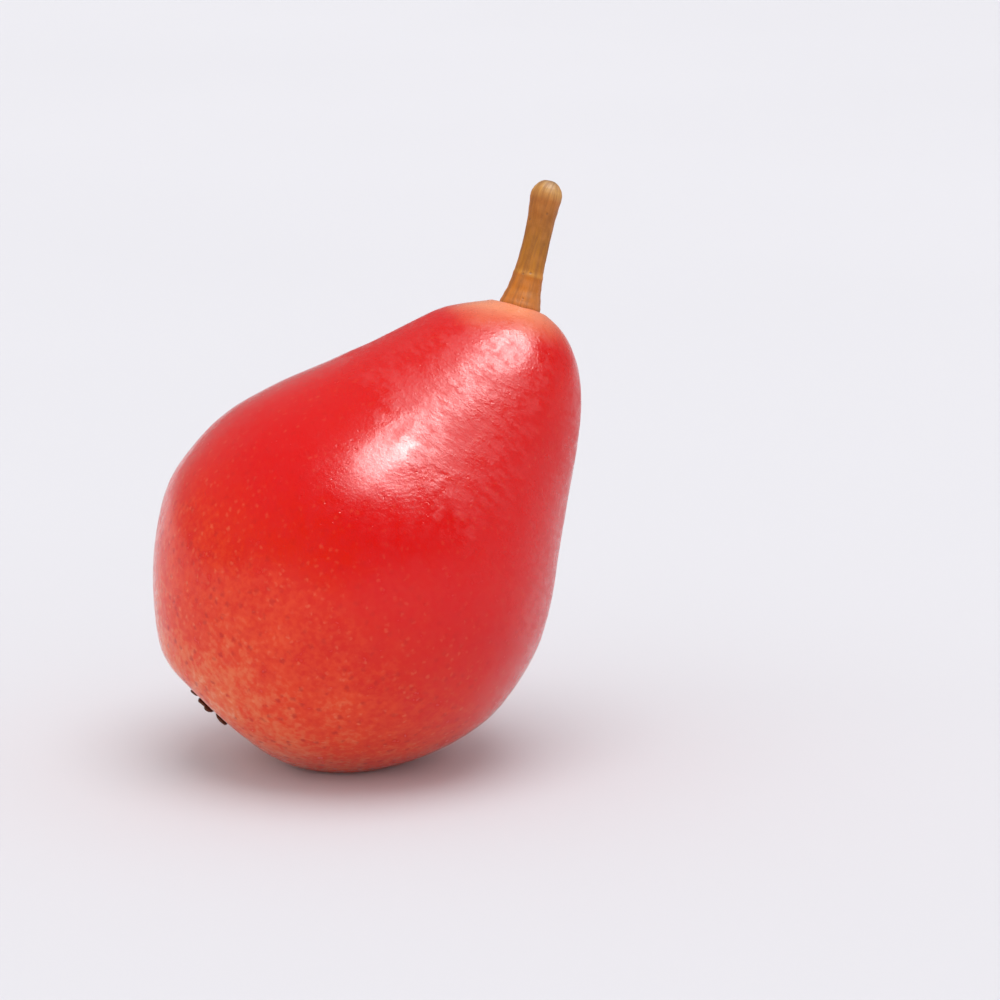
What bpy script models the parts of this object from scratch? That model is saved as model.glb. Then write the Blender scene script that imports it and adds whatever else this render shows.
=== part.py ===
"""A whole red pear with its stem and dried calyx, leaning on a small flat spot."""

import math

import bmesh
import bpy
import numpy as np
from mathutils import Matrix, Vector
from mathutils.geometry import interpolate_bezier

# The pear's own frame, in metres: +Z runs up its axis from base to crown, and -X is the stem's side.
# Its section is four arcs of (radius, height), each two ends with two handles.
BASIN_ARC = ((0.0, 0.0046), (0.0042, 0.0046), (0.0052, 0.0010), (0.0118, 0.0010))
BASE_ARC = ((0.0118, 0.0010), (0.0216, 0.0010), (0.0364, 0.0207), (0.0364, 0.0328))
FLANK_ARC = ((0.0364, 0.0328), (0.0364, 0.0475), (0.0326, 0.0513), (0.0222, 0.0708))
CROWN_ARC = ((0.0222, 0.0708), (0.0191, 0.0767), (0.0121, 0.0932), (0.0, 0.0932))
ARC_STEPS = (7, 12, 14, 14)
CROWN_SAMPLES = 200  # points that the crown's height is read between
SIDES = 64

LOBES = 5
LOBE_DEPTH = 0.00035  # how far the base's faint lobes stand out
LOBE_HEIGHT = 0.030  # they fade out over this height
BASE_SLOPE = 0.105  # rise of the base towards the stem's side
BASE_SLOPE_REACH = (0.008, 0.027)  # less and less between these radii
NECK_HOLLOW = 0.0003  # the neck is drawn in this far on the stem's side
NECK_HEIGHT = 0.064
NECK_REACH = 0.011
SHOULDER_SWELL = 0.0004  # and the shoulder above it stands out
SHOULDER_HEIGHT = 0.085
SHOULDER_REACH = 0.006

CALYX_OFFSET = 0.0045  # the calyx sits this far to the stem's side of the axis
CALYX_REACH = (0.008, 0.026)  # the skin round it is drawn over, less and less between these radii
STEM_OFFSET = 0.0051  # and so does the stem
STEM_REACH = (0.006, 0.019)
SEAT_RADIUS = 0.00405  # the round seat that the stem stands in
SEAT_DEPTH = 0.0014
SEAT_DIP = 0.0006  # the skin falls this much towards the seat
SEAT_DIP_WIDTH = 0.006

STEM_TILT = math.radians(24)  # from the pear's axis, to the stem's side
STEM_BEND = math.radians(5)  # more tilt by the time it reaches its tip
STEM_LENGTH = 0.0241
STEM_RINGS = 28
STEM_RESOLUTION = 6
# Radius of the stem at shares of its length
STEM_RADII = (
    (0.0, 0.00372),
    (0.08, 0.00360),
    (0.17, 0.00300),
    (0.34, 0.00255),
    (0.52, 0.00240),
    (0.70, 0.00245),
    (0.82, 0.00272),
    (0.91, 0.00282),
    (0.97, 0.00235),
    (1.0, 0.00135),
)

SEPALS = 5
SEPAL_LENGTH = 0.0046
SEPAL_WIDTH = 0.0017
SEPAL_THICKNESS = 0.0006
SEPAL_TAPER = 0.75  # share of its width that it loses by its tip
SEPAL_CUP = 0.0016  # its edges bend in
SEPAL_RING = 0.0018  # radius of the ring that the sepals stand on
SEPAL_FOOT = 0.0009  # their feet clear the middle of the basin's floor by this
SEPAL_FLARE = math.radians(8)  # outward tilt at the foot
SEPAL_CURL = math.radians(56)  # more tilt at the tip
STAMEN_RADIUS = 0.0011
STAMEN_LENGTH = 0.0014
STAMEN_FACES = -0.35  # filaments grow from the faces that point further down than this
STAMEN_SPREAD = 0.4
STAMEN_TAPER = 0.55
GAP = 0.0003

LEAN = math.radians(39.1)  # the axis leans towards +X by this
ROLL = math.radians(-17.6)  # turn about the pear's own axis
SPOT_DEPTH = 0.0014  # the flat spot takes this much off the underside
SHARP_ANGLE = math.radians(40)


def material(name, color, roughness):
    made = bpy.data.materials.new(name)
    made.use_nodes = True
    shader = made.node_tree.nodes["Principled BSDF"]
    shader.inputs["Base Color"].default_value = (*color, 1)
    shader.inputs["Roughness"].default_value = roughness
    shader.inputs["Metallic"].default_value = 0
    return made


def node(name, mesh_or_curve, finish):
    made = bpy.data.objects.new(name, mesh_or_curve)
    made.data.materials.append(finish)
    bpy.context.scene.collection.objects.link(made)
    return made


def mesh_of(shape, name):
    """Closes a bmesh off as a smooth-shaded mesh whose faces point out."""
    bmesh.ops.recalc_face_normals(shape, faces=shape.faces)
    if shape.calc_volume(signed=True) < 0:
        bmesh.ops.reverse_faces(shape, faces=shape.faces)
    mesh = bpy.data.meshes.new(name)
    shape.to_mesh(mesh)
    shape.free()
    mesh.shade_smooth()
    mesh.set_sharp_from_angle(angle=SHARP_ANGLE)
    return mesh


def fade(value, start, end):
    """1 up to start, 0 from end on, and a smooth step between them."""
    share = min(max((value - start) / (end - start), 0), 1)
    return 1 - share * share * (3 - 2 * share)


def bump(value, middle, reach):
    """1 at the middle, and a bell round it."""
    return math.exp(-(((value - middle) / reach) ** 2))


def arc(ends_and_handles, steps):
    start, handle_1, handle_2, end = (Vector((*point, 0)) for point in ends_and_handles)
    return interpolate_bezier(start, handle_1, handle_2, end, steps + 1)


def crown_height(radius):
    """Height of the crown's skin over a point this far from the axis."""
    points = np.array(arc(CROWN_ARC, CROWN_SAMPLES))[::-1]
    return float(np.interp(radius, points[:, 0], points[:, 1]))


def section():
    """Half of the body's section, from the floor of the basin to the rim of the stem's seat."""
    points = []
    for ends_and_handles, steps in zip((BASIN_ARC, BASE_ARC, FLANK_ARC, CROWN_ARC), ARC_STEPS):
        points += arc(ends_and_handles, steps)[:-1]
    base = len(arc(BASIN_ARC, ARC_STEPS[0]))
    kept = [point for number, point in enumerate(points) if number < base or point.x > SEAT_RADIUS]
    return kept + [Vector((SEAT_RADIUS, crown_height(SEAT_RADIUS), 0))]


def grown(point):
    """Where a point of the turned shape ends up in the pear as it grew."""
    radius = math.hypot(point.x, point.y)
    angle = math.atan2(point.y, point.x)
    stem_side = max(-math.cos(angle), 0) ** 2
    swell = LOBE_DEPTH * math.cos(LOBES * angle) * fade(point.z, 0, LOBE_HEIGHT)
    swell -= NECK_HOLLOW * stem_side * bump(point.z, NECK_HEIGHT, NECK_REACH)
    swell += SHOULDER_SWELL * stem_side * bump(point.z, SHOULDER_HEIGHT, SHOULDER_REACH)
    radius += swell * min(radius / BASE_ARC[0][0], 1)
    x = radius * math.cos(angle)
    y = radius * math.sin(angle)
    z = point.z
    if point.z < BASE_ARC[3][1]:
        z -= BASE_SLOPE * x * fade(radius, *BASE_SLOPE_REACH)
        x -= CALYX_OFFSET * fade(radius, *CALYX_REACH)
    elif point.z > FLANK_ARC[3][1]:
        x -= STEM_OFFSET * fade(radius, *STEM_REACH)
        z += crown_height(math.hypot(x, y)) - crown_height(radius)
        z -= SEAT_DIP * bump(math.hypot(x + STEM_OFFSET, y), 0, SEAT_DIP_WIDTH)
    return Vector((x, y, z))


def seat():
    """The middle of the seat's rim, and the direction in which the stem leaves it."""
    middle = grown(Vector((0, 0, CROWN_ARC[3][1])))
    return middle, Vector((-math.sin(STEM_TILT), 0, math.cos(STEM_TILT)))


def sink_seat(shape):
    """Fills the open rim at the crown with a flat floor, SEAT_DEPTH down."""
    middle, up = seat()
    rim = [edge for edge in shape.edges if edge.is_boundary]
    floor = bmesh.ops.contextual_create(shape, geom=rim)["faces"]
    floor = bmesh.ops.extrude_discrete_faces(shape, faces=floor)["faces"][0]
    for corner in floor.verts:
        above = (corner.co - middle).dot(up)
        corner.co -= up * (above + SEAT_DEPTH)


def pose():
    """Turns the pear's own frame into the leaning one."""
    return Matrix.Rotation(LEAN, 4, "Y") @ Matrix.Rotation(ROLL, 4, "Z")


def flatten_spot(shape):
    """Cuts the underside flat, and gives the middle of the flat spot."""
    level = min(corner.co.z for corner in shape.verts) + SPOT_DEPTH
    cut = bmesh.ops.bisect_plane(
        shape,
        geom=shape.verts[:] + shape.edges[:] + shape.faces[:],
        plane_co=(0, 0, level),
        plane_no=(0, 0, 1),
        clear_inner=True,
    )
    edges = [part for part in cut["geom_cut"] if isinstance(part, bmesh.types.BMEdge)]
    spot = bmesh.ops.contextual_create(shape, geom=edges)["faces"][0]
    for corner in spot.verts:
        corner.co.z = level
    return spot.calc_center_median_weighted()


def body():
    shape = bmesh.new()
    line = [shape.verts.new((point.x, 0, point.y)) for point in section()]
    for first, second in zip(line, line[1:]):
        shape.edges.new((first, second))
    bmesh.ops.spin(
        shape,
        geom=shape.verts[:] + shape.edges[:],
        axis=(0, 0, 1),
        angle=math.tau,
        steps=SIDES,
        use_merge=True,
    )
    bmesh.ops.remove_doubles(shape, verts=shape.verts, dist=1e-6)
    for corner in shape.verts:
        corner.co = grown(corner.co)
    sink_seat(shape)
    shape.transform(pose())
    middle = flatten_spot(shape)
    return mesh_of(shape, "pear_body"), middle


def stem():
    """A tapered, slightly bent rod from just above the floor of its seat to its knob."""
    middle, up = seat()
    curve = bpy.data.curves.new("stem", "CURVE")
    curve.dimensions = "3D"
    curve.bevel_depth = 1
    curve.bevel_resolution = STEM_RESOLUTION
    curve.use_fill_caps = True
    line = curve.splines.new("POLY")
    line.points.add(STEM_RINGS)
    shares, radii = zip(*STEM_RADII)
    place = middle - up * (SEAT_DEPTH - GAP)
    for number, point in enumerate(line.points):
        share = number / STEM_RINGS
        point.co = (*place, 1)
        point.radius = float(np.interp(share, shares, radii))
        tilt = STEM_TILT + STEM_BEND * share
        place += Vector((-math.sin(tilt), 0, math.cos(tilt))) * (STEM_LENGTH / STEM_RINGS)
    return curve


def calyx_place():
    """The middle of the basin's floor, square to the sloping base."""
    middle = Vector((-CALYX_OFFSET, 0, BASIN_ARC[0][1]))
    return Matrix.Translation(middle) @ Matrix.Rotation(math.atan(BASE_SLOPE), 4, "Y")


def sepal(number):
    """One small dried flap that stands on the basin's floor and curls out."""
    shape = bmesh.new()
    bmesh.ops.create_grid(shape, x_segments=4, y_segments=7, size=0.5)
    lifted = bmesh.ops.extrude_face_region(shape, geom=shape.faces[:])["geom"]
    upper = [part for part in lifted if isinstance(part, bmesh.types.BMVert)]
    bmesh.ops.translate(shape, verts=upper, vec=(0, 0, 1))
    turn = Matrix.Rotation(math.tau * (number + 0.5) / SEPALS, 4, "Z")
    for corner in shape.verts:
        across, along, outer = corner.co
        along += 0.5
        tilt = SEPAL_FLARE + SEPAL_CURL * along / 2
        width = SEPAL_WIDTH * (1 - SEPAL_TAPER * along * along)
        out = SEPAL_LENGTH * along * math.sin(tilt) + SEPAL_THICKNESS * outer * math.cos(tilt)
        down = SEPAL_LENGTH * along * math.cos(tilt) - SEPAL_THICKNESS * outer * math.sin(tilt)
        out += SEPAL_RING - SEPAL_CUP * across * across
        corner.co = turn @ Vector((out, across * width, -down - SEPAL_FOOT))
    shape.transform(pose() @ calyx_place())
    return mesh_of(shape, f"sepal_{number + 1}")


def stamens():
    """A small ball with a withered filament on every third of its lower faces."""
    shape = bmesh.new()
    bmesh.ops.create_icosphere(shape, subdivisions=2, radius=STAMEN_RADIUS)
    lower = sorted(
        (face for face in shape.faces if face.normal.z < STAMEN_FACES),
        key=lambda face: (round(face.normal.z, 3), math.atan2(face.normal.y, face.normal.x)),
    )
    for tip in bmesh.ops.extrude_discrete_faces(shape, faces=lower[::3])["faces"]:
        middle = tip.calc_center_median()
        push = Vector((tip.normal.x * STAMEN_SPREAD, tip.normal.y * STAMEN_SPREAD, -1))
        for corner in tip.verts:
            corner.co = middle + (corner.co - middle) * STAMEN_TAPER + push * STAMEN_LENGTH
    bmesh.ops.translate(shape, verts=shape.verts, vec=(0, 0, -STAMEN_RADIUS - GAP))
    shape.transform(pose() @ calyx_place())
    return mesh_of(shape, "stamens")


def main():
    for old in list(bpy.data.objects):
        bpy.data.objects.remove(old)
    skin = material("red_skin", (0.55, 0.030, 0.022), 0.32)
    wood = material("stem_wood", (0.36, 0.17, 0.05), 0.62)
    dried = material("dried_calyx", (0.06, 0.030, 0.018), 0.85)
    fruit, middle = body()
    pieces = [node("pear_body", fruit, skin)]
    stalk = node("stem", stem(), wood)
    stalk.matrix_world = pose()
    pieces.append(stalk)
    for number in range(SEPALS):
        pieces.append(node(f"sepal_{number + 1}", sepal(number), dried))
    pieces.append(node("stamens", stamens(), dried))
    for piece in pieces:
        piece.matrix_world = Matrix.Translation(-middle) @ piece.matrix_world


main()
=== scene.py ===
import math
import random

import bmesh
import bpy
from mathutils import Matrix, Vector, noise


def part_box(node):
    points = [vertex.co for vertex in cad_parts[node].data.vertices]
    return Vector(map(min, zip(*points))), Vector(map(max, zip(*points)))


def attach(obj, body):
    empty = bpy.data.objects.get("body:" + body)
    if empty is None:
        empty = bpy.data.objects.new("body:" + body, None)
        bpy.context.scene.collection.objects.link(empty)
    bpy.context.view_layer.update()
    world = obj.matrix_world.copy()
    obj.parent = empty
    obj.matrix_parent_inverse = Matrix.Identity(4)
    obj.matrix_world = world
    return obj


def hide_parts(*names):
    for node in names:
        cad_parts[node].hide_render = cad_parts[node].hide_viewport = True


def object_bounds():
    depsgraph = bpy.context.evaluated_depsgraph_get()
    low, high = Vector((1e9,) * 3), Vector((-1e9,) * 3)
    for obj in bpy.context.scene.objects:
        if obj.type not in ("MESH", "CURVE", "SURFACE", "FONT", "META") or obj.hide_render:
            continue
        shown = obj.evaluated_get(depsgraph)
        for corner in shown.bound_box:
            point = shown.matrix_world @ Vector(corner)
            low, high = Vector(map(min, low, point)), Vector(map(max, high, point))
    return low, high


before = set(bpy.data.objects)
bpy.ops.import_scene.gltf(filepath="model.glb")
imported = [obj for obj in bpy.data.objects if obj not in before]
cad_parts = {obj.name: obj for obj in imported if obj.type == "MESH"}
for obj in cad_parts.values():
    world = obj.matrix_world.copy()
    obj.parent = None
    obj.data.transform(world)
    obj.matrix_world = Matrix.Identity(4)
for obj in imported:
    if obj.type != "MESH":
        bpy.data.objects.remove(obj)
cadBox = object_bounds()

scene = bpy.context.scene
mm = 0.001

# The upright pear: +Z up its axis from calyx to stem, -X on the side the stem leans to
upright = {
    "lean": math.radians(39.1),
    "roll": math.radians(-17.6),
    "restPoint": Vector((20.0523, 5.5912, 6.9322)) * mm,  # middle of the flat spot it rests on
    "calyxMiddle": Vector((-4.5, 0.0, 4.6)) * mm,
    "baseSlope": math.atan(0.105),
    "seatMiddle": Vector((-5.1, 0.0, 91.58)) * mm,
    "stemTilt": math.radians(21.8),
}
turnPear = Matrix.Rotation(upright["lean"], 4, "Y") @ Matrix.Rotation(upright["roll"], 4, "Z")
pearPlace = turnPear @ Matrix.Translation(-upright["restPoint"])
tiltStem = Matrix.Rotation(-upright["stemTilt"], 4, "Y")
stemPlace = pearPlace @ Matrix.Translation(upright["seatMiddle"]) @ tiltStem
tiltCalyx = Matrix.Rotation(upright["baseSlope"], 4, "Y")
calyxPlace = pearPlace @ Matrix.Translation(upright["calyxMiddle"]) @ tiltCalyx


def smoothStep(value, start, end):
    share = min(max((value - start) / (end - start), 0.0), 1.0)
    return share * share * (3 - 2 * share)


def readTable(value, table):  # rows of (position, amount), eased from row to row
    for (start, low), (end, high) in zip(table, table[1:]):
        if value <= end:
            return low + (high - low) * smoothStep(value, start, end)
    return table[-1][1]


def lumps(point, size, seed=0.0):  # smooth noise from -1 to 1, in lumps of this size
    return noise.noise(point / size + Vector((seed, 1.7 * seed, -seed)))


def aroundNoise(angle, along, turns, seed=0.0):  # noise that closes on itself round an axis
    return noise.noise(Vector((math.cos(angle) * turns, math.sin(angle) * turns + seed, along)))


def placeMesh(shape, name):
    mesh = bpy.data.meshes.new(name)
    shape.to_mesh(mesh)
    shape.free()
    placed = bpy.data.objects.new(name, mesh)
    scene.collection.objects.link(placed)
    return placed


def applyModifiers(piece):
    seen = piece.evaluated_get(bpy.context.evaluated_depsgraph_get())
    smooth = bpy.data.meshes.new_from_object(seen)
    piece.modifiers.clear()
    piece.data = smooth


def finishPiece(shape, name, material, replaced, levels):
    bmesh.ops.recalc_face_normals(shape, faces=shape.faces)
    if shape.calc_volume(signed=True) < 0:
        bmesh.ops.reverse_faces(shape, faces=shape.faces)
    piece = placeMesh(shape, name)
    smoother = piece.modifiers.new("smoother", "SUBSURF")
    smoother.levels = levels
    smoother.render_levels = levels
    applyModifiers(piece)
    piece.data.shade_smooth()
    piece.data.materials.clear()
    piece.data.materials.append(material)
    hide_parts(*replaced)
    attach(piece, "root")
    print("made", name, "with", len(piece.data.polygons), "faces")
    return piece


# Shader helpers: one call makes a node, sets it up and joins its inputs
def node(tree, kind, inputs=None, **settings):
    made = tree.nodes.new("ShaderNode" + kind)
    for name, value in settings.items():
        setattr(made, name, value)
    for name, value in (inputs or {}).items():
        socket = made.inputs[name]
        if isinstance(value, bpy.types.NodeSocket):
            tree.links.new(value, socket)
        else:
            socket.default_value = value
    return made


def calc(tree, operation, first, second, clamp=False):
    inputs = {0: first, 1: second}
    return node(tree, "Math", inputs, operation=operation, use_clamp=clamp).outputs[0]


def times(tree, first, second, clamp=False):
    return calc(tree, "MULTIPLY", first, second, clamp)


def plus(tree, total, *others):
    for other in others:
        total = calc(tree, "ADD", total, other)
    return total


def swing(tree, mask, amount):  # a mask turned into a change both ways
    return times(tree, calc(tree, "SUBTRACT", mask, 0.5), amount)


def weighed(tree, total, masks, weights):  # adds each mask named in weights, times its weight
    for label, weight in weights.items():
        total = plus(tree, total, times(tree, masks[label], weight))
    return total


def stretch(tree, value, low, high, toLow=0.0, toHigh=1.0):
    spans = {"Value": value, "From Min": low, "From Max": high, "To Min": toLow, "To Max": toHigh}
    return node(tree, "MapRange", spans, interpolation_type="SMOOTHSTEP").outputs["Result"]


def vectorCalc(tree, operation, inputs, output="Vector"):
    return node(tree, "VectorMath", inputs, operation=operation).outputs[output]


def distance(tree, first, second):
    return vectorCalc(tree, "DISTANCE", {0: first, 1: second}, "Value")


def mixColors(tree, share, first, second):  # second is a fixed red, green and blue
    mixer = node(tree, "Mix", {0: share, 6: first, 7: (*second, 1)}, data_type="RGBA")
    return mixer.outputs[2]


def ramp(tree, value, rows):  # rows of (position, (red, green, blue))
    made = node(tree, "ValToRGB", {"Fac": value})
    elements = made.color_ramp.elements
    while len(elements) < len(rows):
        elements.new(0.5)
    for element, (position, color) in zip(elements, rows):
        element.position = position
        element.color = (*color, 1)
    return made.outputs["Color"]


def gray(rows):
    return [(position, (amount, amount, amount)) for position, amount in rows]


def pieceCoordinates(tree, place):  # millimetres in the piece's own upright frame
    inputs = {
        "Vector": node(tree, "TexCoord").outputs["Object"],
        "Location": place.to_translation(),
        "Rotation": place.to_euler("XYZ"),
        "Scale": (mm, mm, mm),
    }
    return node(tree, "Mapping", inputs, vector_type="TEXTURE").outputs["Vector"]


def newMaterial(name, constants):
    material = bpy.data.materials.new(name)
    material.use_nodes = True
    tree = material.node_tree
    shader = tree.nodes["Principled BSDF"]
    for label, value in constants.items():
        shader.inputs[label].default_value = value
    return material, tree, shader


def joinAll(tree, shader, sockets):
    for label, socket in sockets.items():
        tree.links.new(socket, shader.inputs[label])


# Shared effects; each group takes a Vector, and then amounts that are given here their usual values
def newGroup(name, amounts, results):
    tree = bpy.data.node_groups.new(name, "ShaderNodeTree")
    tree.interface.new_socket("Vector", in_out="INPUT", socket_type="NodeSocketVector")
    for label, usual in amounts.items():
        socket = tree.interface.new_socket(label, in_out="INPUT", socket_type="NodeSocketFloat")
        socket.default_value = usual
    for label in results:
        tree.interface.new_socket(label, in_out="OUTPUT", socket_type="NodeSocketFloat")
    given = tree.nodes.new("NodeGroupInput").outputs
    result = tree.nodes.new("NodeGroupOutput").inputs
    return tree, given, result


def patchesGroup():  # uneven patches, from 0 to 1
    amounts = {"Size": 5.0, "Detail": 2.0, "Low": 0.3, "High": 0.7}
    tree, given, result = newGroup("patches", amounts, ["Mask"])
    scale = calc(tree, "DIVIDE", 1.0, given["Size"])
    pattern = node(tree, "TexNoise", {
        "Vector": given["Vector"], "Scale": scale, "Detail": given["Detail"],
    })
    mask = stretch(tree, pattern.outputs["Fac"], given["Low"], given["High"])
    tree.links.new(mask, result["Mask"])
    return tree


def dotsGroup():  # scattered soft dots of uneven size
    amounts = {"Spacing": 1.5, "Radius": 0.3, "Softness": 0.6, "Share": 0.6}
    tree, given, result = newGroup("dots", amounts, ["Mask", "Pick"])
    scale = calc(tree, "DIVIDE", 1.0, given["Spacing"])
    cells = node(tree, "TexVoronoi", {"Vector": given["Vector"], "Scale": scale})
    pick = node(tree, "SeparateColor", {"Color": cells.outputs["Color"]}).outputs
    core = times(tree, given["Radius"], calc(tree, "SUBTRACT", 1.0, given["Softness"]))
    dot = stretch(tree, cells.outputs["Distance"], core, given["Radius"], 1.0, 0.0)
    chosen = calc(tree, "LESS_THAN", pick[0], given["Share"])
    tree.links.new(times(tree, dot, chosen), result["Mask"])
    tree.links.new(pick[1], result["Pick"])
    return tree


def grainGroup():  # grain drawn out round an axis or along it, closed all round
    amounts = {"Around": 6.0, "Along": 0.2, "Detail": 3.0, "Rough": 0.6}
    tree, given, result = newGroup("grain", amounts, ["Height"])
    flat = vectorCalc(tree, "MULTIPLY", {0: given["Vector"], 1: (1, 1, 0)})
    unit = vectorCalc(tree, "NORMALIZE", {0: flat})
    wide = vectorCalc(tree, "SCALE", {0: unit, "Scale": given["Around"]})
    height = node(tree, "SeparateXYZ", {"Vector": given["Vector"]}).outputs["Z"]
    rise = node(tree, "CombineXYZ", {"Z": times(tree, height, given["Along"])}).outputs["Vector"]
    pattern = node(tree, "TexNoise", {
        "Vector": vectorCalc(tree, "ADD", {0: wide, 1: rise}),
        "Scale": 1.0, "Detail": given["Detail"], "Roughness": given["Rough"],
    })
    tree.links.new(pattern.outputs["Fac"], result["Height"])
    return tree


patches = patchesGroup()
dots = dotsGroup()
grain = grainGroup()
print("shared effects are ready")


def useGroup(tree, group, vector, amounts):
    return node(tree, "Group", {"Vector": vector, **amounts}, node_tree=group).outputs


# Skin of the pear; a bare length here is in millimetres
skinLook = {
    "gloss": {"IOR": 1.34, "Coat Roughness": 0.11, "Coat IOR": 1.5},
    "ground": [  # from bare pale ground to full blush
        (0.00, (0.80, 0.36, 0.20)),
        (0.25, (0.76, 0.14, 0.045)),
        (0.50, (0.72, 0.046, 0.008)),
        (0.75, (0.63, 0.013, 0.002)),
        (1.00, (0.60, 0.0018, 0.0020)),
    ],
    "blushByHeight": [  # share of the pear's height, then how full the blush is
        (0.00, 0.30), (0.07, 0.37), (0.11, 0.47), (0.20, 0.56), (0.31, 0.74), (0.39, 0.91),
        (0.48, 1.0),
    ],
    "tallest": 93.2,
    "palest": 1.15,  # how pale the skin is where it has no blush at all
    "patches": {
        "clouds": {"Size": 13.0},
        "mottle": {"Size": 3.4, "Detail": 3.0},
        "speckle": {"Size": 1.1},
    },
    "blushSwing": {"clouds": 0.16, "mottle": 0.20, "speckle": 0.24},
    "swingByPale": 0.85,
    "swingLeast": 0.1,
    "drift": {"Scale": 1.3, "Detail": 1.0},  # makes the outlines of dots and creases ragged
    "driftReach": 0.9,
    "flecks": {"Spacing": 1.9, "Radius": 0.42, "Softness": 0.8, "Share": 0.55},
    "fleckColor": (0.40, 0.004, 0.003),
    "fleckShow": 0.75,
    "lenticels": {"Spacing": 1.35, "Radius": 0.42, "Softness": 0.95, "Share": 0.75},
    "lenticelColor": (0.76, 0.23, 0.10),
    "lenticelShow": 0.6,
    "glowMiddle": (-7.2, -2.8, 90.8),
    "glowReach": (3.5, 14.5),
    "glowWaver": 3.0,
    "glowShow": 0.9,
    "glowColor": (0.80, 0.27, 0.13),
    "russetReach": (3.2, 6.5),
    "russetWaver": 3.0,
    "russetShow": 0.9,
    "russetColor": (0.30, 0.13, 0.045),
    "neckFoot": (57, 64),  # heights between which the creased skin of the neck comes in
    "neckSlant": 0.35,
    "neckWaver": 5.0,
    "neckTop": (78, 90, 1.0, 0.45),  # heights, then how strong it is at each
    "neckFlank": (11, 22, 1.0, 0.35),  # the same, across the pear
    "wrinkles": {"Around": 5.5, "Along": 0.80, "Detail": 4.0, "Rough": 0.62},
    "creaseSpan": (0.37, 0.57),
    "rough": 0.15,
    "roughBy": {"mottle": 0.07, "speckle": 0.06, "russet": 0.3, "neck": 0.12, "crease": 0.24},
    "coatBySpeckle": (0.26, 0.12),
    "coatWorn": 0.3,  # how much of the coat is lost to russet, and then to the neck
    "coatDull": 0.8,
    "wrinkleRelief": 0.3,
    "neckRelief": 2.2,
    "fine": {"Scale": 1.7, "Detail": 4.0, "Roughness": 0.62},
    "fineRelief": 0.75,
    "pits": {"Spacing": 1.5, "Radius": 0.22, "Softness": 0.8, "Share": 0.40},
    "pitRelief": 0.5,
    "bump": {"Strength": 0.7, "Distance": 0.10 * mm},
}


def skinColor(tree, at, ragged, masks):
    look = skinLook
    height = node(tree, "SeparateXYZ", {"Vector": at}).outputs["Z"]
    share = calc(tree, "DIVIDE", height, look["tallest"], clamp=True)
    blush = ramp(tree, share, gray(look["blushByHeight"]))
    pale = calc(tree, "SUBTRACT", look["palest"], blush)
    swings = [swing(tree, masks[label], size) for label, size in look["blushSwing"].items()]
    strength = plus(tree, times(tree, pale, look["swingByPale"]), look["swingLeast"])
    blush = plus(tree, blush, times(tree, plus(tree, *swings), strength))
    color = ramp(tree, blush, look["ground"])
    # Round the foot of the stem a peach glow is mixed in
    away = plus(tree, distance(tree, at, look["glowMiddle"]),
                swing(tree, masks["clouds"], look["glowWaver"]))
    glow = stretch(tree, away, *look["glowReach"], look["glowShow"], 0.0)
    color = mixColors(tree, glow, color, look["glowColor"])
    flecks = useGroup(tree, dots, ragged, look["flecks"])["Mask"]
    shown = times(tree, flecks, times(tree, pale, look["fleckShow"]), clamp=True)
    color = mixColors(tree, shown, color, look["fleckColor"])
    lenticels = useGroup(tree, dots, ragged, look["lenticels"])
    lenticels = times(tree, lenticels["Mask"], lenticels["Pick"])
    shown = times(tree, lenticels, times(tree, pale, look["lenticelShow"]), clamp=True)
    color = mixColors(tree, shown, color, look["lenticelColor"])
    return mixColors(tree, masks["russet"], color, look["russetColor"])


def russetMask(tree, at, mottle):  # in the basin, round the dried calyx
    away = plus(tree, distance(tree, at, upright["calyxMiddle"] / mm),
                swing(tree, mottle, skinLook["russetWaver"]))
    return stretch(tree, away, *skinLook["russetReach"], skinLook["russetShow"], 0.0)


def neckMask(tree, at, mottle):  # round the neck the skin is duller and drawn into fine creases
    look = skinLook
    sides = node(tree, "SeparateXYZ", {"Vector": at}).outputs
    slanted = plus(tree, sides["Z"], times(tree, sides["X"], look["neckSlant"]),
                   times(tree, mottle, look["neckWaver"]))
    neck = times(tree, stretch(tree, slanted, *look["neckFoot"]),
                 stretch(tree, sides["Z"], *look["neckTop"]))
    return times(tree, neck, stretch(tree, sides["X"], *look["neckFlank"]))


def skinCoat(tree, masks):
    look = skinLook
    coat = stretch(tree, masks["speckle"], 0.0, 1.0, *look["coatBySpeckle"])
    coat = calc(tree, "SUBTRACT", coat, times(tree, masks["russet"], look["coatWorn"]))
    kept = calc(tree, "SUBTRACT", 1.0, times(tree, masks["neck"], look["coatDull"]))
    return times(tree, coat, kept)


def skinRelief(tree, at, ragged, neck, wrinkles):
    look = skinLook
    creased = plus(tree, times(tree, neck, look["neckRelief"]), look["wrinkleRelief"])
    fine = node(tree, "TexNoise", {"Vector": at, **look["fine"]}).outputs["Fac"]
    pits = useGroup(tree, dots, ragged, look["pits"])["Mask"]
    relief = plus(tree, times(tree, wrinkles, creased), times(tree, fine, look["fineRelief"]))
    relief = calc(tree, "SUBTRACT", relief, times(tree, pits, look["pitRelief"]))
    return node(tree, "Bump", {"Height": relief, **look["bump"]}).outputs["Normal"]


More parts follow.
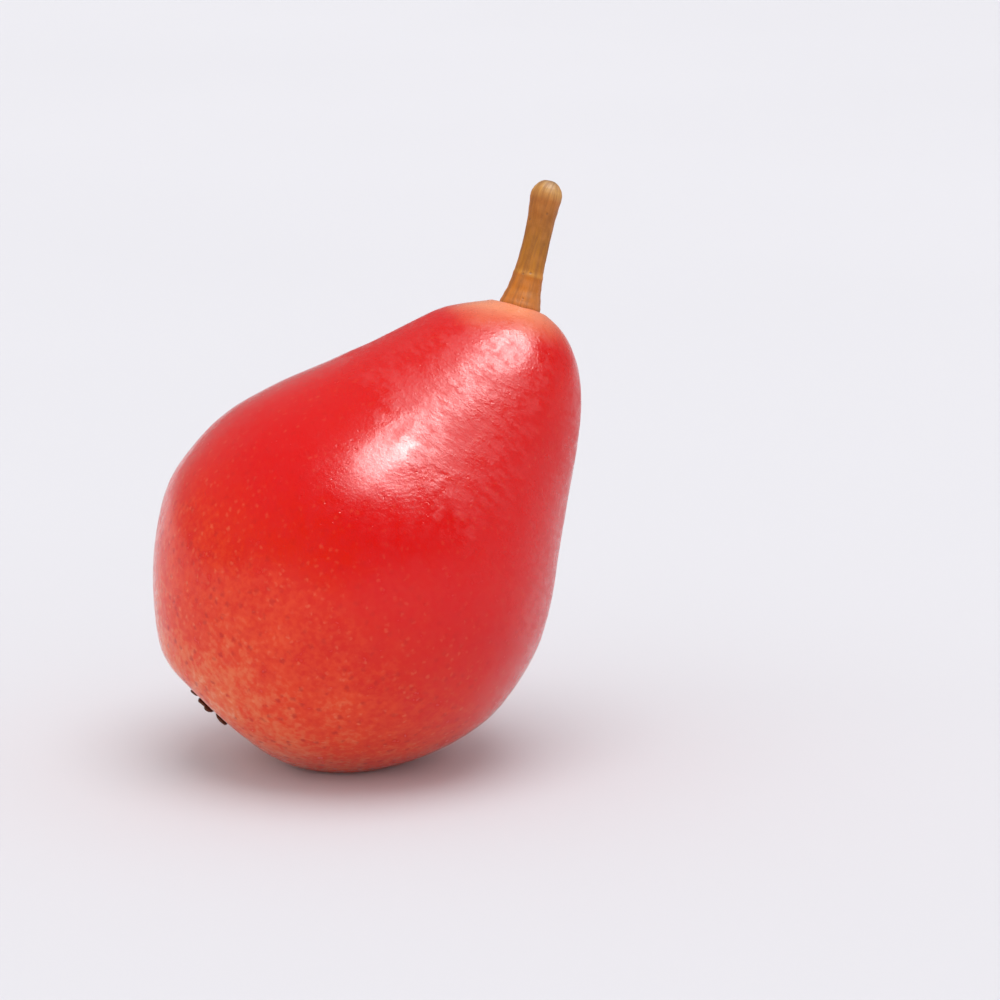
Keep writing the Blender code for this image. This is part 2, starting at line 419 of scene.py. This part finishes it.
def skinMaterial():
    look = skinLook
    material, tree, shader = newMaterial("pearSkin", look["gloss"])
    at = pieceCoordinates(tree, pearPlace)
    drift = node(tree, "TexNoise", {"Vector": at, **look["drift"]}).outputs["Color"]
    drift = vectorCalc(tree, "SCALE", {0: drift, "Scale": look["driftReach"]})
    ragged = vectorCalc(tree, "ADD", {0: at, 1: drift})
    masks = {label: useGroup(tree, patches, at, amounts)["Mask"]
             for label, amounts in look["patches"].items()}
    masks["russet"] = russetMask(tree, at, masks["mottle"])
    masks["neck"] = neckMask(tree, at, masks["mottle"])
    wrinkles = useGroup(tree, grain, ragged, look["wrinkles"])["Height"]
    folds = stretch(tree, wrinkles, *look["creaseSpan"], 1.0, 0.0)
    masks["crease"] = times(tree, folds, masks["neck"])
    joinAll(tree, shader, {
        "Base Color": skinColor(tree, at, ragged, masks),
        "Roughness": weighed(tree, look["rough"], masks, look["roughBy"]),
        "Coat Weight": skinCoat(tree, masks),
        "Normal": skinRelief(tree, at, ragged, masks["neck"], wrinkles),
    })
    print("mixed pearSkin")
    return material


# The fruit itself, from a merged copy of the CAD body
fruitShape = {
    "levels": 2,
    "weld": 0.01 * mm,
    "facingDown": -0.999,
    "shortEdge": 0.45 * mm,
    "spotRings": (0.90, 0.65, 0.35),  # rings across the flat spot, as shares of its size
    "joinTurn": math.radians(40),  # triangles are joined in pairs up to this turn and this skew
    "joinSkew": math.radians(60),
    "swells": (  # size, height and seed
        (11 * mm, 0.16 * mm, 3.1),
        (4.5 * mm, 0.045 * mm, 7.7),
        (1.9 * mm, 0.014 * mm, 1.3),
    ),
    "creaseDepth": 0.020 * mm,
    "creaseLength": 1.6 * mm,
    "creaseTurns": 5.0,
    "pleats": 9,
    "pleatDepth": 0.22 * mm,
    "pleatTop": 12 * mm,
    "pleatStart": (2 * mm, 4.5 * mm),  # distances from the calyx where the pleats come in
    "pleatReach": (4.5 * mm, 12 * mm),  # and where they fade out
    "pleatWaver": 2.2,
    "pleatTurns": 1.2,
    "pleatSeed": 4.0,
    "lipHeight": 0.28 * mm,
    "lipRadius": 4.9 * mm,
    "lipWidth": 1.1 * mm,
    "lipShare": (0.6, 0.6),  # the steady share of the lip, and the share that varies
    "lipTurns": 1.5,
    "restClear": (0.3 * mm, 5 * mm),  # relief fades out towards the flat spot
}


def meshFlatSpot(shape, bottom):  # fresh rings of faces, so that smoothing keeps the spot flat
    look = fruitShape
    spot = [face for face in shape.faces if face.normal.z < look["facingDown"]
            and face.calc_center_median().z < bottom + look["weld"]]
    bmesh.ops.delete(shape, geom=spot, context="FACES")
    rim = [edge for edge in shape.edges if edge.is_boundary]
    near = {edge for side in rim for corner in side.verts for edge in corner.link_edges}
    bmesh.ops.dissolve_degenerate(shape, edges=list(near), dist=look["shortEdge"])
    rim = [edge for edge in shape.edges if edge.is_boundary]
    inner = bmesh.ops.contextual_create(shape, geom=rim)["faces"]
    middle = inner[0].calc_center_median()
    before = 1.0
    for share in look["spotRings"]:
        inner = bmesh.ops.extrude_discrete_faces(shape, faces=inner)["faces"]
        for corner in inner[0].verts:
            corner.co = middle + (corner.co - middle) * (share / before)
        before = share


def fruitBody(material):
    look = fruitShape
    shape = bmesh.new()
    shape.from_mesh(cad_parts["pear_body"].data)
    bmesh.ops.remove_doubles(shape, verts=shape.verts, dist=look["weld"])
    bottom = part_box("pear_body")[0].z
    meshFlatSpot(shape, bottom)
    bmesh.ops.join_triangles(
        shape, faces=[face for face in shape.faces if len(face.verts) == 3],
        angle_face_threshold=look["joinTurn"], angle_shape_threshold=look["joinSkew"],
    )
    fruit = finishPiece(shape, "fruitBody", material, ["pear_body"], look["levels"])
    raiseRelief(fruit, bottom)


def pleatRise(place):  # pleats round the calyx
    look = fruitShape
    calyx = upright["calyxMiddle"]
    away = math.hypot(place.x - calyx.x, place.y - calyx.y)
    turn = math.atan2(place.y, place.x - calyx.x)
    waver = look["pleatWaver"] * aroundNoise(turn, 0.0, look["pleatTurns"], look["pleatSeed"])
    wave = math.cos(look["pleats"] * turn + waver)
    shown = (1 - smoothStep(away, *look["pleatReach"])) * smoothStep(away, *look["pleatStart"])
    return look["pleatDepth"] * wave * shown


def lipRise(place):  # an uneven lip round the seat of the stem
    look = fruitShape
    seat = upright["seatMiddle"]
    lip = math.exp(-(((place - seat).length - look["lipRadius"]) / look["lipWidth"]) ** 2)
    steady, varied = look["lipShare"]
    uneven = aroundNoise(math.atan2(place.y, place.x - seat.x), 0.0, look["lipTurns"])
    return look["lipHeight"] * lip * (steady + varied * uneven)


def raiseRelief(fruit, bottom):  # faint swells, creases, pleats and a lip
    look = fruitShape
    back = pearPlace.inverted()
    outward = [corner.normal.copy() for corner in fruit.data.vertices]  # before any point moves
    for corner, normal in zip(fruit.data.vertices, outward):
        place = back @ corner.co
        angle = math.atan2(place.y, place.x)
        rise = sum(depth * lumps(place, size, seed) for size, depth, seed in look["swells"])
        along = place.z / look["creaseLength"]
        rise += look["creaseDepth"] * aroundNoise(angle, along, look["creaseTurns"])
        if place.z < look["pleatTop"]:
            rise += pleatRise(place)
        rise += lipRise(place)
        rise *= smoothStep(corner.co.z - bottom, *look["restClear"])
        corner.co += normal * rise
        corner.co.z = max(corner.co.z, bottom)


# The woody stem
stemShape = {
    "start": -1.1 * mm,  # its foot stands just above the floor of the seat
    "length": 24.1 * mm,
    "bend": math.radians(5),
    "rings": 66,
    "sides": 36,
    "radii": (
        (0.0, 3.75 * mm), (0.045, 3.80 * mm), (0.09, 3.50 * mm), (0.17, 3.05 * mm),
        (0.25, 2.78 * mm), (0.275, 2.80 * mm), (0.30, 2.62 * mm), (0.40, 2.48 * mm),
        (0.55, 2.38 * mm), (0.70, 2.45 * mm), (0.80, 2.68 * mm), (0.86, 2.84 * mm),
        (0.90, 2.78 * mm), (0.935, 2.50 * mm), (0.965, 2.02 * mm), (0.985, 1.50 * mm),
        (1.0, 0.85 * mm),
    ),
    "ridges": (0.055, 2.3, 1.3, 2.0),  # share of the radius, turns along and around, and seed
    "fibres": (0.022, 5.0, 4.5, 6.0),
    "knobLumps": (0.05, 9.0, 1.6, 9.0),
    "knobStart": (0.74, 0.86),  # shares of the length where the knob's lumps come in
    "evenFoot": (0.03, 0.16),  # and where all the unevenness does
    "tipInset": 0.30 * mm,
    "tipCup": 0.12 * mm,
    "tipRough": 0.2 * mm,
    "tipLumps": 0.9 * mm,
}


def stemNoise(share, angle, kind):
    height, along, around, seed = stemShape[kind]
    return height * aroundNoise(angle, share * along, around, seed)


def stemRadius(share, angle):
    look = stemShape
    uneven = stemNoise(share, angle, "ridges") + stemNoise(share, angle, "fibres")
    uneven += stemNoise(share, angle, "knobLumps") * smoothStep(share, *look["knobStart"])
    return readTable(share, look["radii"]) * (1 + uneven * smoothStep(share, *look["evenFoot"]))


def placeRing(face, turned, middle, share):
    for corner in face.verts:
        angle = math.atan2(corner.co.y, corner.co.x)
        radius = stemRadius(share, angle)
        side = Vector((math.cos(angle) * radius, math.sin(angle) * radius, 0))
        corner.co = turned @ side + middle


def stemPiece(material):
    look = stemShape
    shape = bmesh.new()
    bmesh.ops.create_circle(shape, cap_ends=True, segments=look["sides"], radius=1.0)
    top = shape.faces[:]
    middle = Vector((0, 0, look["start"]))
    turned = Matrix.Identity(4)
    placeRing(top[0], turned, middle, 0.0)
    step = look["length"] / look["rings"]
    for ring in range(1, look["rings"] + 1):
        share = ring / look["rings"]
        before, was = middle.copy(), turned
        turned = Matrix.Rotation(-look["bend"] * share, 4, "Y")
        middle = middle + turned @ Vector((0, 0, step))
        top = bmesh.ops.extrude_discrete_faces(shape, faces=top)["faces"]
        for corner in top[0].verts:
            corner.co = was.inverted() @ (corner.co - before)
        placeRing(top[0], turned, middle, share)
    bmesh.ops.inset_region(shape, faces=top, thickness=look["tipInset"])
    for corner in top[0].verts:  # the broken end is a shallow rough cup
        deep = look["tipCup"] + look["tipRough"] * lumps(corner.co, look["tipLumps"])
        corner.co -= turned @ Vector((0, 0, deep))
    shape.transform(stemPlace)
    finishPiece(shape, "stemStalk", material, ["stem"], 1)


stemLook = {  # a bare length here is in millimetres
    "gloss": {"IOR": 1.36},
    "tallest": 23.5,
    "colorByHeight": [
        (0.00, (0.56, 0.17, 0.022)), (0.10, (0.52, 0.155, 0.008)), (0.22, (0.48, 0.135, 0.004)),
        (0.245, (0.56, 0.22, 0.018)), (0.285, (0.44, 0.150, 0.004)), (0.50, (0.37, 0.130, 0.004)),
        (0.70, (0.37, 0.115, 0.010)), (0.82, (0.45, 0.150, 0.024)), (0.90, (0.58, 0.29, 0.070)),
        (0.95, (0.46, 0.24, 0.075)), (1.00, (0.17, 0.10, 0.060)),
    ],
    "fibres": {"Around": 3.6, "Along": 0.13, "Detail": 5.0, "Rough": 0.7},
    "fibreShow": (0.38, 0.60, 0.55, 0.0),
    "fibreColor": (0.22, 0.070, 0.010),
    "blotches": {"Size": 2.6, "Detail": 3.0, "Low": 0.45, "High": 0.70},
    "blotchShow": 0.35,
    "blotchColor": (0.52, 0.19, 0.035),
    "pores": {"Spacing": 1.3, "Radius": 0.26, "Softness": 0.5, "Share": 0.22},
    "poreShow": 0.5,
    "poreColor": (0.14, 0.06, 0.02),
    "poreRelief": -0.3,
    "roughByFibres": (0.3, 0.7, 0.62, 0.42),
    "bump": {"Strength": 0.7, "Distance": 0.30 * mm},
}


def stemMaterial():
    look = stemLook
    material, tree, shader = newMaterial("stemBark", look["gloss"])
    at = pieceCoordinates(tree, stemPlace)
    height = node(tree, "SeparateXYZ", {"Vector": at}).outputs["Z"]
    share = calc(tree, "DIVIDE", height, look["tallest"], clamp=True)
    fibres = useGroup(tree, grain, at, look["fibres"])["Height"]
    blotches = useGroup(tree, patches, at, look["blotches"])["Mask"]
    pores = useGroup(tree, dots, at, look["pores"])["Mask"]
    color = ramp(tree, share, look["colorByHeight"])
    color = mixColors(tree, stretch(tree, fibres, *look["fibreShow"]), color, look["fibreColor"])
    color = mixColors(tree, times(tree, blotches, look["blotchShow"]), color, look["blotchColor"])
    color = mixColors(tree, times(tree, pores, look["poreShow"]), color, look["poreColor"])
    relief = plus(tree, fibres, times(tree, pores, look["poreRelief"]))
    joinAll(tree, shader, {
        "Base Color": color,
        "Roughness": stretch(tree, fibres, *look["roughByFibres"]),
        "Normal": node(tree, "Bump", {"Height": relief, **look["bump"]}).outputs["Normal"],
    })
    print("mixed stemBark")
    return material


# Dried calyx: five sepals and the withered stamens
calyxShape = {
    "sepals": 5,
    "length": 5.7 * mm,
    "width": 2.3 * mm,
    "bulge": 0.65,
    "thickness": 0.40 * mm,
    "ring": 1.8 * mm,
    "foot": 0.45 * mm,
    "flare": math.radians(5),
    "curl": math.radians(95),
    "curlUneven": 0.08,
    "curlSteps": 12,
    "cup": 0.9 * mm,
    "taper": 0.15,
    "crinkle": 0.25 * mm,
    "crinkleNoise": (3.2, 3.0, 5.3, 0),  # waves across and along, step between sepals, and seed
    "edgeUneven": 0.16,
    "edgeNoise": (9, 7, 2.1, 9),
    "lengthUneven": 0.10,
    "lengthWaves": 4,
    "lengthSeed": 3,
    "stamens": 15,
    "stamenDraw": 11,
    "stamenTurn": 2.399963,  # the golden angle, so that they spread evenly
    "stamenSpread": 1.1 * mm,
    "stamenFoot": 1.1 * mm,
    "stamenLength": 2.4 * mm,
    "stamenShares": (0.55, 1.0),  # each one's length is drawn between these shares of it
    "stamenLeans": (0.1, 0.5),
    "stamenRadii": (0.17 * mm, 0.09 * mm),  # at the foot and at the tip
    "antherRadius": 0.24 * mm,
    "cushionRadii": (1.5 * mm, 1.5 * mm, 0.7 * mm),  # the cushion that the stamens stand on
    "cushionDown": 0.75 * mm,
}


def bendOut(along, length, extra):  # how far out and how far down a sepal has got
    steps = calyxShape["curlSteps"]
    out = down = 0.0
    for step in range(steps):
        share = along * (step + 0.5) / steps
        tilt = calyxShape["flare"] + (calyxShape["curl"] + extra) * share ** 2
        out += math.sin(tilt) * length * along / steps
        down += math.cos(tilt) * length * along / steps
    return out, down


def sepalNoise(across, along, number, kind):
    wide, tall, step, seed = calyxShape[kind]
    return noise.noise(Vector((across * wide, along * tall, number * step + seed)))


def sepalPiece(number, material):
    look = calyxShape
    shape = bmesh.new()
    bmesh.ops.create_grid(shape, x_segments=8, y_segments=16, size=0.5)
    turn = Matrix.Rotation(math.tau * (number + 0.5) / look["sepals"], 4, "Z")
    for corner in shape.verts:
        across, along = corner.co.x, corner.co.y + 0.5
        crinkle = sepalNoise(across, along, number, "crinkleNoise")
        edge = sepalNoise(across, along, number, "edgeNoise")
        belly = 1 + look["bulge"] * math.sin(math.pi * along ** 2) - look["taper"] * along ** 3
        width = look["width"] * (1 + look["edgeUneven"] * edge) * belly
        longer = noise.noise(Vector((across * look["lengthWaves"], number, look["lengthSeed"])))
        length = look["length"] * (1 + look["lengthUneven"] * longer)
        out, down = bendOut(along, length, look["curlUneven"] * crinkle)
        out += look["ring"] - look["cup"] * across * across
        down += look["foot"] + look["crinkle"] * crinkle * along
        corner.co = turn @ Vector((out, across * width, -down))
    bmesh.ops.solidify(shape, geom=shape.faces[:], thickness=look["thickness"])
    shape.transform(calyxPlace)
    finishPiece(shape, f"driedSepal{number + 1}", material, [f"sepal_{number + 1}"], 1)


def stamenPiece(material):
    look = calyxShape
    draw = random.Random(look["stamenDraw"])
    shape = bmesh.new()
    lowered = Matrix.Translation((0, 0, -look["cushionDown"]))
    bmesh.ops.create_uvsphere(
        shape, u_segments=20, v_segments=10, radius=1.0,
        matrix=lowered @ Matrix.Diagonal((*look["cushionRadii"], 1)),
    )
    for number in range(look["stamens"]):
        angle = number * look["stamenTurn"]
        reach = look["stamenSpread"] * math.sqrt((number + 0.5) / look["stamens"])
        foot = Vector((math.cos(angle) * reach, math.sin(angle) * reach, -look["stamenFoot"]))
        tall = look["stamenLength"] * draw.uniform(*look["stamenShares"])
        hinge = Vector((-math.sin(angle), math.cos(angle), 0))
        lean = Matrix.Rotation(draw.uniform(*look["stamenLeans"]), 4, hinge)
        place = Matrix.Translation(foot) @ lean.inverted() @ Matrix.Rotation(math.pi, 4, "X")
        thick, thin = look["stamenRadii"]
        bmesh.ops.create_cone(
            shape, cap_ends=True, segments=8, radius1=thick, radius2=thin, depth=tall,
            matrix=place @ Matrix.Translation((0, 0, tall / 2)),
        )
        bmesh.ops.create_icosphere(
            shape, subdivisions=2, radius=look["antherRadius"],
            matrix=place @ Matrix.Translation((0, 0, tall)),
        )
    shape.transform(calyxPlace)
    finishPiece(shape, "witheredStamens", material, ["stamens"], 1)


calyxLook = {  # a bare length here is in millimetres
    "gloss": {"IOR": 1.4},
    "tipSpan": (-4.5, -0.5),
    "colorByTip": [
        (0.0, (0.13, 0.050, 0.028)), (0.45, (0.12, 0.045, 0.022)), (1.0, (0.18, 0.085, 0.032)),
    ],
    "fibres": {"Around": 9.0, "Along": 0.25, "Detail": 4.0, "Rough": 0.6},
    "fibreShow": (0.45, 0.7, 0.0, 0.5),
    "fibreColor": (0.20, 0.12, 0.065),
    "mould": {"Size": 0.9, "Detail": 3.0, "Low": 0.5, "High": 0.75},
    "mouldShow": 0.4,
    "mouldColor": (0.10, 0.09, 0.05),
    "roughByFibres": (0.3, 0.7, 0.9, 0.68),
    "bump": {"Strength": 0.8, "Distance": 0.30 * mm},
}


def calyxMaterial():
    look = calyxLook
    material, tree, shader = newMaterial("driedCalyx", look["gloss"])
    at = pieceCoordinates(tree, calyxPlace)
    height = node(tree, "SeparateXYZ", {"Vector": at}).outputs["Z"]
    fibres = useGroup(tree, grain, at, look["fibres"])["Height"]
    mould = useGroup(tree, patches, at, look["mould"])["Mask"]
    color = ramp(tree, stretch(tree, height, *look["tipSpan"]), look["colorByTip"])
    color = mixColors(tree, stretch(tree, fibres, *look["fibreShow"]), color, look["fibreColor"])
    color = mixColors(tree, times(tree, mould, look["mouldShow"]), color, look["mouldColor"])
    joinAll(tree, shader, {
        "Base Color": color,
        "Roughness": stretch(tree, fibres, *look["roughByFibres"]),
        "Normal": node(tree, "Bump", {"Height": fibres, **look["bump"]}).outputs["Normal"],
    })
    print("mixed driedCalyx")
    return material


fruitBody(skinMaterial())
stemPiece(stemMaterial())
driedCalyx = calyxMaterial()
for sepalNumber in range(calyxShape["sepals"]):
    sepalPiece(sepalNumber, driedCalyx)
stamenPiece(driedCalyx)


# Pale floor, soft light and camera
studio = {
    "floorRadius": 14.0,
    "floorGap": 0.05 * mm,
    "floorColor": (0.650, 0.643, 0.678),
    "floorTooth": {"Size": 0.4},
    "toothShade": 0.985,
    "paper": {"Roughness": 1.0, "Specular IOR Level": 0.0},
    "paleSky": (0.853, 0.846, 0.886),
    "ambient": 0.85,
    "roomTowards": (-0.25, 0.85, 0.45),  # the shine of the room grows this way
    "roomSpan": (-0.25, 0.75),
    "darkSide": 0.02,
    "brightSide": 0.38,
    "haze": 0.75,
    "hazeRise": 0.42,
    "hazeSpan": (-0.1, 0.3),
    "lamps": {  # direction towards the light, width in degrees, strength, and what it lights
        "keyLight": ((0.05, -0.20, 0.98), 44, 1.30, "diffuse"),
        "lowFill": ((0.34, -0.94, 0.05), 50, 0.50, "diffuse"),
        "leftFill": ((-0.80, -0.45, 0.35), 70, 0.50, "diffuse"),
        "topShine": ((0.07, -0.31, 0.947), 19, 1.45, "glossy"),
        "sideShine": ((0.39, -0.22, 0.895), 36, 7.4, "glossy"),
    },
    "azimuth": math.radians(11.95),
    "elevation": math.radians(13),
    "target": Vector((0, 0, 45 * mm)),
    "distance": 0.70,
    "lens": 140.3,
    "sensor": 36,
    "aimRight": 0.0404,
    "aimUp": 0.0042,
}


def layFloor():
    shape = bmesh.new()
    bmesh.ops.create_circle(shape, cap_ends=True, segments=96, radius=studio["floorRadius"])
    level = cadBox[0].z - studio["floorGap"]
    bmesh.ops.translate(shape, verts=shape.verts, vec=(0, 0, level))
    floor = placeMesh(shape, "studioFloor")
    material, tree, shader = newMaterial("floorPaper", studio["paper"])
    at = node(tree, "TexCoord").outputs["Object"]
    tooth = useGroup(tree, patches, at, studio["floorTooth"])["Mask"]
    paper = studio["floorColor"]
    darker = [amount * studio["toothShade"] for amount in paper]
    joinAll(tree, shader, {"Base Color": mixColors(tree, tooth, (*paper, 1), darker)})
    floor.data.materials.append(material)


def hangLamps():
    for name, (towards, width, strength, shines) in studio["lamps"].items():
        lamp = bpy.data.lights.new(name, "SUN")
        lamp.energy = strength
        lamp.angle = math.radians(width)
        holder = bpy.data.objects.new(name, lamp)
        holder.rotation_euler = Vector(towards).to_track_quat("Z", "Y").to_euler()
        holder.visible_diffuse = shines == "diffuse"
        holder.visible_glossy = shines == "glossy"
        scene.collection.objects.link(holder)


def lightRoom():  # even light all round, a room for the gloss to mirror, and a pale backdrop
    world = bpy.data.worlds.new("studioRoom")
    scene.world = world
    world.use_nodes = True
    tree = world.node_tree
    tree.nodes.clear()
    towards = node(tree, "TexCoord").outputs["Generated"]
    side = vectorCalc(tree, "DOT_PRODUCT", {0: towards, 1: studio["roomTowards"]}, "Value")
    room = stretch(tree, side, *studio["roomSpan"], studio["darkSide"], studio["brightSide"])
    rise = node(tree, "SeparateXYZ", {"Vector": towards}).outputs["Z"]
    haze = times(tree, stretch(tree, rise, 0.0, studio["hazeRise"], studio["haze"], 0.0),
                 stretch(tree, side, *studio["hazeSpan"], 1.0, 0.0))
    paths = node(tree, "LightPath").outputs
    soft = times(tree, paths["Is Diffuse Ray"], studio["ambient"])
    shine = times(tree, paths["Is Glossy Ray"], plus(tree, room, haze))
    white = {"Color": (1, 1, 1, 1), "Strength": plus(tree, soft, shine)}
    pale = {"Color": (*studio["paleSky"], 1), "Strength": 1.0}
    both = node(tree, "MixShader", {
        0: paths["Is Camera Ray"],
        1: node(tree, "Background", white).outputs[0],
        2: node(tree, "Background", pale).outputs[0],
    })
    node(tree, "OutputWorld", {"Surface": both.outputs[0]})


def setCamera():
    azimuth, elevation = studio["azimuth"], studio["elevation"]
    look = Vector((math.sin(azimuth) * math.cos(elevation), math.cos(azimuth) * math.cos(elevation),
                   -math.sin(elevation)))
    right = Vector((math.cos(azimuth), -math.sin(azimuth), 0))
    up = right.cross(look)
    lens = bpy.data.cameras.new("studioCamera")
    lens.lens = studio["lens"]
    lens.sensor_width = studio["sensor"]
    camera = bpy.data.objects.new("studioCamera", lens)
    aim = (look + studio["aimRight"] * right + studio["aimUp"] * up).normalized()
    camera.location = studio["target"] - look * studio["distance"]
    camera.rotation_euler = (-aim).to_track_quat("Z", "Y").to_euler()
    scene.collection.objects.link(camera)
    scene.camera = camera


layFloor()
hangLamps()
lightRoom()
setCamera()
scene.view_settings.view_transform = "Standard"
print("studio is set")
